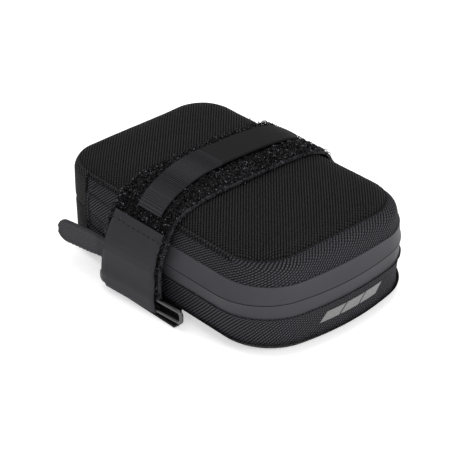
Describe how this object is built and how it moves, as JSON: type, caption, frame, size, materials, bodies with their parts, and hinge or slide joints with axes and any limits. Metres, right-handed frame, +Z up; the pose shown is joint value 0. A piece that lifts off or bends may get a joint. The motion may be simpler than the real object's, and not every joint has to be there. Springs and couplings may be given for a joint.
{
  "type": "saddle bag",
  "caption": "Compact under-saddle bag with a zipped clamshell body, a wide loop strap with a folded hook end, and a narrow rail band on top.",
  "frame": {"origin": "on the resting face, in the bag's middle plane, half way along the body", "axes": "+Z up, the zip's nose towards -Y and the spine towards +Y, the strap's hook end on the -X side"},
  "size_m": [0.1209, 0.1517, 0.0555],
  "materials": {
    "body_fabric": "diagonal twill, matt",
    "panel_fabric": "coarse twill, matt",
    "zip_tape": "water-resistant coated tape, satin",
    "zip_coil": "nylon coil",
    "lining_fabric": "thin smooth lining",
    "foam": "closed-cell foam",
    "binding": "grosgrain binding",
    "loop_pile": "fuzzy loop pile",
    "smooth_strap": "coated webbing, satin",
    "hook_patch": "hook tape",
    "ribbed_webbing": "cross-ribbed webbing",
    "hook_tab": "moulded, satin",
    "dark_metal": "dark coated, glossy",
    "ring_metal": "satin",
    "pull_rubber": "fine diamond grain, matt",
    "reflective_film": "silver reflective film"
  },
  "bodies": {
    "base": {"bottom_panel": "body_fabric", "bottom_stiffener": "foam", "base_webbing": "smooth_strap", "lower_gusset": "body_fabric", "lower_zip_tape": "zip_tape", "lower_zip_coil": "zip_coil", "spine_lower": "body_fabric", "lower_lining": "lining_fabric", "lower_seam_binding": "binding", "reflective_mark": "reflective_film", "zip_end_stops": "dark_metal"},
    "lid": {"upper_zip_tape": "zip_tape", "upper_zip_coil": "zip_coil", "upper_gusset": "body_fabric", "spine_upper": "body_fabric", "top_panel": "panel_fabric", "top_stiffener": "foam", "upper_lining": "lining_fabric", "upper_seam_binding": "binding", "loop_strap": "loop_pile", "strap_ring": "ring_metal"},
    "hook_end": {"hook_panel": "smooth_strap", "hook_tape": "hook_patch"},
    "rail_band": {"ribbed_webbing": "ribbed_webbing", "hook_tab": "hook_tab"},
    "slider": {"zip_slider": "dark_metal", "pull_link": "dark_metal"},
    "pull": {"pull_tab": "pull_rubber"}
  },
  "joints": [
    {"name": "lid_open", "type": "hinge", "parent": "base", "child": "lid", "pos_m": [0, 0.0758, 0.0269], "axis": [-1, 0, 0], "range_deg": [0, 85]},
    {"name": "zip_travel", "type": "slide", "parent": "base", "child": "slider", "axis": [0, -1, 0], "range_m": [0, 0.028]},
    {"name": "pull_swing", "type": "hinge", "parent": "slider", "child": "pull", "pos_m": [-0.05575, 0.0289, 0.0173], "axis": [0, 0, 1], "range_deg": [0, 85]},
    {"name": "strap_end_peel", "type": "hinge", "parent": "lid", "child": "hook_end", "pos_m": [-0.05995, 0.0083, 0.0034], "axis": [0.0604, -0.9982, 0], "range_deg": [0, 90]},
    {"name": "rail_band_peel", "type": "hinge", "parent": "lid", "child": "rail_band", "pos_m": [-0.0437, 0.0135, 0.0508], "axis": [0, -1, 0], "range_deg": [0, 95]}
  ]
}
